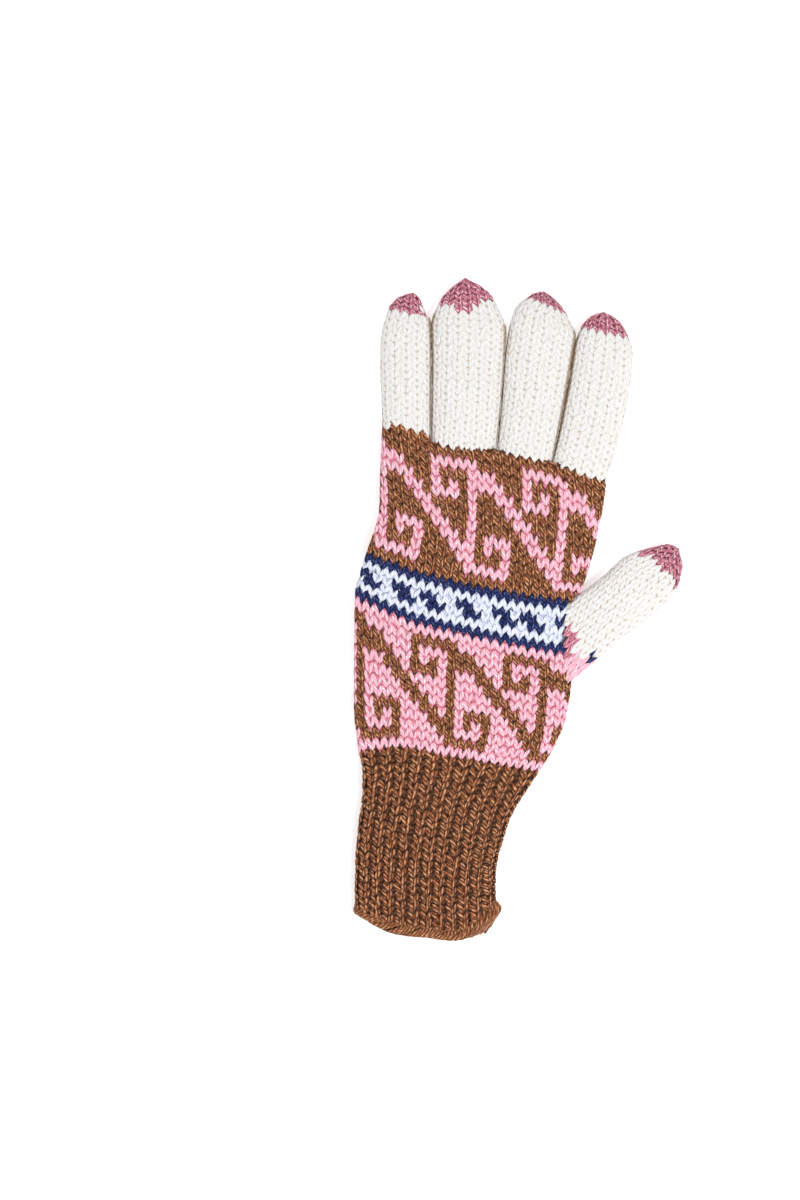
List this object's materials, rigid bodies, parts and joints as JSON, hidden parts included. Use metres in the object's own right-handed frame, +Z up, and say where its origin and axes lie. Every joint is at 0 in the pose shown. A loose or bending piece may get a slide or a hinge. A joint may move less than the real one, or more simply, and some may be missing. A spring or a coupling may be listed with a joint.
{
  "type": "knit glove",
  "caption": "Hand-knitted glove lying flat, back side up: ribbed cuff, hand with running-scroll and stepped colour bands, hollow fingers and a side thumb with contrasting tips.",
  "frame": {"origin": "middle of the glove's bounding box, on the surface that it lies on", "axes": "+X across the glove to the thumb's side, +Y from the wrist to the fingertips, +Z up out of the back of the hand"},
  "size_m": [0.1312, 0.2644, 0.0129],
  "materials": {
    "brown_yarn": "heathered brown wool yarn, matt, ribbed and stocking stitch",
    "pink_yarn": "light pink wool yarn, matt, with brown scrolls knitted in",
    "white_yarn": "cool white wool yarn, matt, with navy lines and steps knitted in",
    "cream_yarn": "cream wool yarn, matt, slightly fuzzy stocking stitch",
    "rose_yarn": "dusty rose wool yarn, matt, stocking stitch"
  },
  "bodies": {
    "root": {"cast_on_edge": "brown_yarn", "cuff": "brown_yarn", "lower_band": "pink_yarn", "border_band": "white_yarn", "upper_band": "brown_yarn", "little_finger": "cream_yarn", "ring_finger": "cream_yarn", "middle_finger": "cream_yarn", "index_finger": "cream_yarn", "thumb": "cream_yarn", "little_tip": "rose_yarn", "ring_tip": "rose_yarn", "middle_tip": "rose_yarn", "index_tip": "rose_yarn", "thumb_tip": "rose_yarn"}
  },
  "joints": []
}
